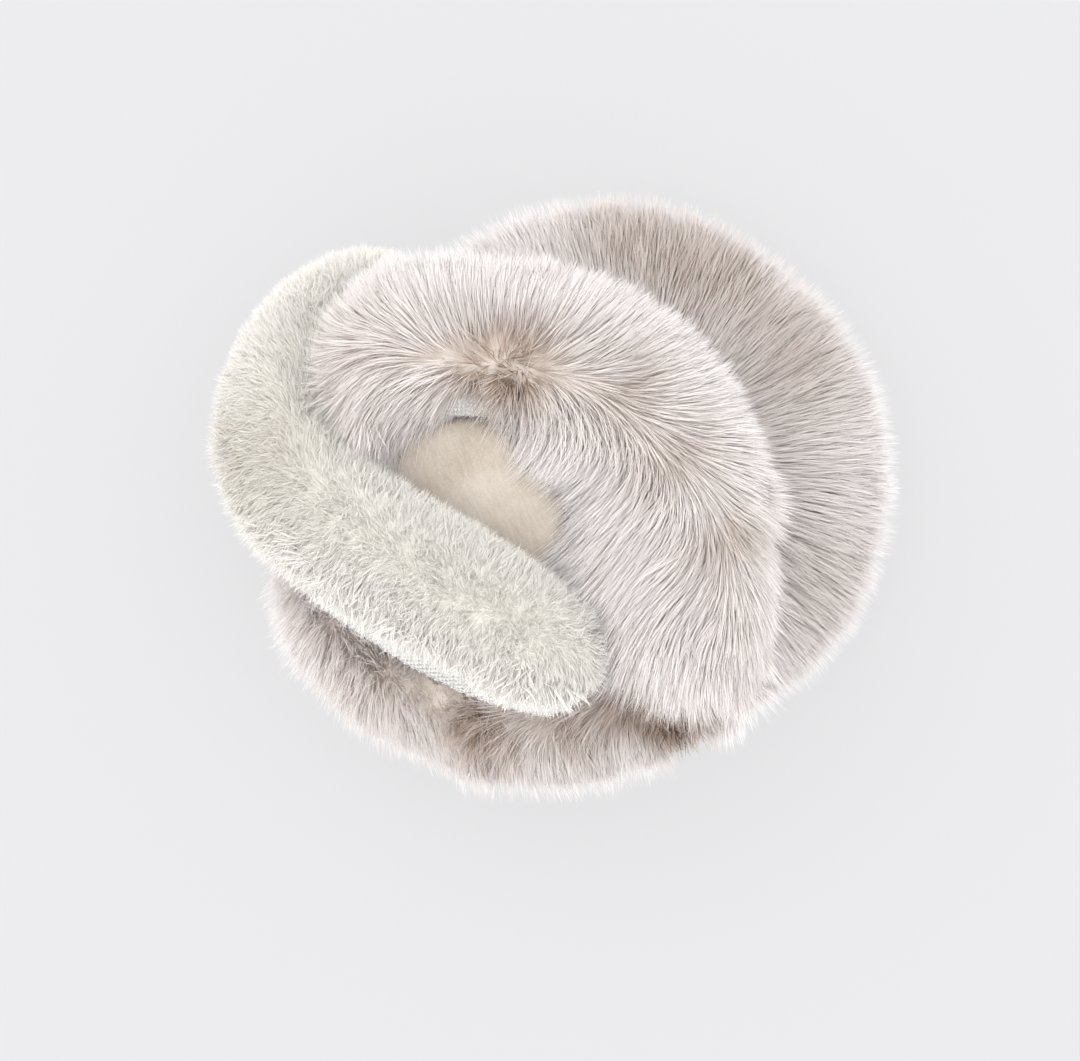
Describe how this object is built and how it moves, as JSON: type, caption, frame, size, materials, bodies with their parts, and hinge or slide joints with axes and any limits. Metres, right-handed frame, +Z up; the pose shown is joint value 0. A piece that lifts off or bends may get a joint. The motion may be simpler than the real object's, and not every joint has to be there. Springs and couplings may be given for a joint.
{
  "type": "fur earmuffs",
  "caption": "Folding faux fur earmuffs with fat round ear cups and a plush headband, collapsed and lying flat.",
  "frame": {"origin": "The middle of the folded pair's box, on the surface that it lies on.", "axes": "+Z up, out of the front cup's ear side. +X to the right as the folded pair is seen from above, from the front cup towards the back cup. Across is Y."},
  "size_m": [0.1746, 0.1548, 0.0901],
  "materials": {
    "taupe_fur": "long faux fur, brown at the roots and frosted white at the tips",
    "cream_fur": "short ivory plush, brushed in swirls",
    "velour_lining": "short beige velour with a soft sheen",
    "white_knit": "white knit with regular tiny eyelets"
  },
  "bodies": {
    "root": {"front_cup_fur": "taupe_fur", "front_cup_lining": "velour_lining", "front_cup_knit_edge": "white_knit", "back_cup_fur": "taupe_fur", "back_cup_lining": "velour_lining", "headband_fur": "cream_fur", "headband_knit_backing": "white_knit"}
  },
  "joints": []
}
